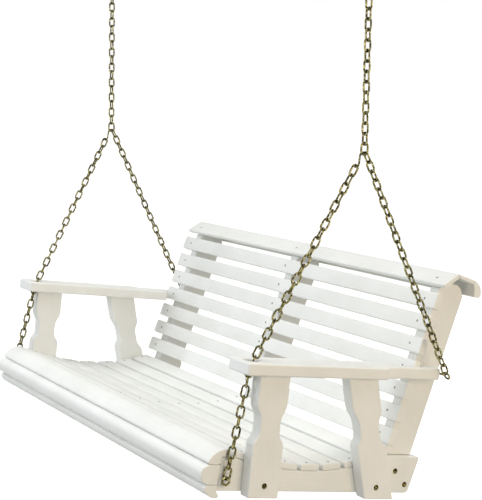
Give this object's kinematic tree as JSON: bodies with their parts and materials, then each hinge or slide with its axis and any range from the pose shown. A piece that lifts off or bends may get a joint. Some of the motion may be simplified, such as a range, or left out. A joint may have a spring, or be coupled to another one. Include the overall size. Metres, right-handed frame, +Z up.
{
  "type": "porch swing",
  "caption": "White painted wooden porch swing with slatted seat and back, rolled top and seat front, armrests, and Y chains hung from ceiling fittings.",
  "frame": {"origin": "on the ceiling plane, midway between the two ceiling plates", "axes": "+Z up, +X along the swing towards the sitter's left-hand end (the right-hand chain seen from the front), +Y towards the back, so the swing faces -Y"},
  "size_m": [1.536, 0.8568, 1.4966],
  "materials": {
    "painted_wood": "satin off-white paint over softwood boards",
    "chain_metal": "antique brass coloured plating over steel wire",
    "bolt_metal": "dark antique brass coloured plating",
    "plate_metal": "antique brass coloured plating over steel"
  },
  "bodies": {
    "ceiling_fittings": {"ceiling_plate_left": "plate_metal", "ceiling_plate_right": "plate_metal"},
    "top_hooks": {"top_s_hook_left": "chain_metal", "top_s_hook_right": "chain_metal"},
    "left_drop_chain": {"drop_chain_left": "chain_metal"},
    "right_drop_chain": {"drop_chain_right": "chain_metal"},
    "left_junction": {"junction_link_left": "chain_metal"},
    "right_junction": {"junction_link_right": "chain_metal"},
    "bench": {"arm_support_front_left": "painted_wood", "arm_support_front_right": "painted_wood", "arm_support_rear_left": "painted_wood", "arm_support_rear_right": "painted_wood", "armrest_left": "painted_wood", "armrest_right": "painted_wood", "back_slat_1": "painted_wood", "back_slat_2": "painted_wood", "back_slat_3": "painted_wood", "back_slat_4": "painted_wood", "back_slat_5": "painted_wood", "back_slat_6": "painted_wood", "back_slat_7": "painted_wood", "back_upright_center": "painted_wood", "back_upright_left": "painted_wood", "back_upright_right": "painted_wood", "front_chain_left": "chain_metal", "front_chain_right": "chain_metal", "front_eyebolt_left": "chain_metal", "front_eyebolt_right": "chain_metal", "front_s_hook_left": "chain_metal", "front_s_hook_right": "chain_metal", "rear_chain_left": "chain_metal", "rear_chain_right": "chain_metal", "rear_eyebolt_left": "chain_metal", "rear_eyebolt_right": "chain_metal", "seat_center_rail": "painted_wood", "seat_front_board": "painted_wood", "seat_front_lower_board": "painted_wood", "seat_front_top_board": "painted_wood", "seat_side_rail_left": "painted_wood", "seat_side_rail_right": "painted_wood", "seat_slat_1": "painted_wood", "seat_slat_2": "painted_wood", "seat_slat_3": "painted_wood", "seat_slat_4": "painted_wood", "seat_slat_5": "painted_wood", "seat_slat_6": "painted_wood", "seat_slat_7": "painted_wood", "support_bolt_1_left": "bolt_metal", "support_bolt_1_right": "bolt_metal", "support_bolt_2_left": "bolt_metal", "support_bolt_2_right": "bolt_metal", "top_roll_front_slat": "painted_wood", "top_roll_rear_slat": "painted_wood", "top_roll_top_slat": "painted_wood", "upright_bolt_1_center": "bolt_metal", "upright_bolt_1_left": "bolt_metal", "upright_bolt_1_right": "bolt_metal", "upright_bolt_2_center": "bolt_metal", "upright_bolt_2_left": "bolt_metal", "upright_bolt_2_right": "bolt_metal"}
  },
  "joints": [
    {"name": "fore_aft_swing", "type": "hinge", "parent": "ceiling_fittings", "child": "top_hooks", "pos_m": [0, 0, -0.036], "axis": [1, 0, 0], "range_deg": [-30, 30]},
    {"name": "side_sway", "type": "hinge", "parent": "top_hooks", "child": "left_drop_chain", "pos_m": [-0.728, 0, -0.07757], "axis": [0, 1, 0], "range_deg": [-10, 10]},
    {"name": "right_chain_sway", "type": "hinge", "parent": "top_hooks", "child": "right_drop_chain", "pos_m": [0.728, 0, -0.07757], "axis": [0, 1, 0], "range_deg": [-10, 10]},
    {"name": "left_junction_turn", "type": "hinge", "parent": "left_drop_chain", "child": "left_junction", "pos_m": [-0.728, 0, -0.55662], "axis": [0, 1, 0], "range_deg": [-10, 10]},
    {"name": "right_junction_turn", "type": "hinge", "parent": "right_drop_chain", "child": "right_junction", "pos_m": [0.728, 0, -0.55662], "axis": [0, 1, 0], "range_deg": [-10, 10]},
    {"name": "bench_pitch", "type": "hinge", "parent": "left_junction", "child": "bench", "pos_m": [0, 0, -0.57502], "axis": [1, 0, 0], "range_deg": [-12, 12]}
  ],
  "couplings": [
    {"joint": "right_chain_sway", "follows": "side_sway", "ratio": 1},
    {"joint": "left_junction_turn", "follows": "side_sway", "ratio": -1},
    {"joint": "right_junction_turn", "follows": "side_sway", "ratio": -1}
  ]
}
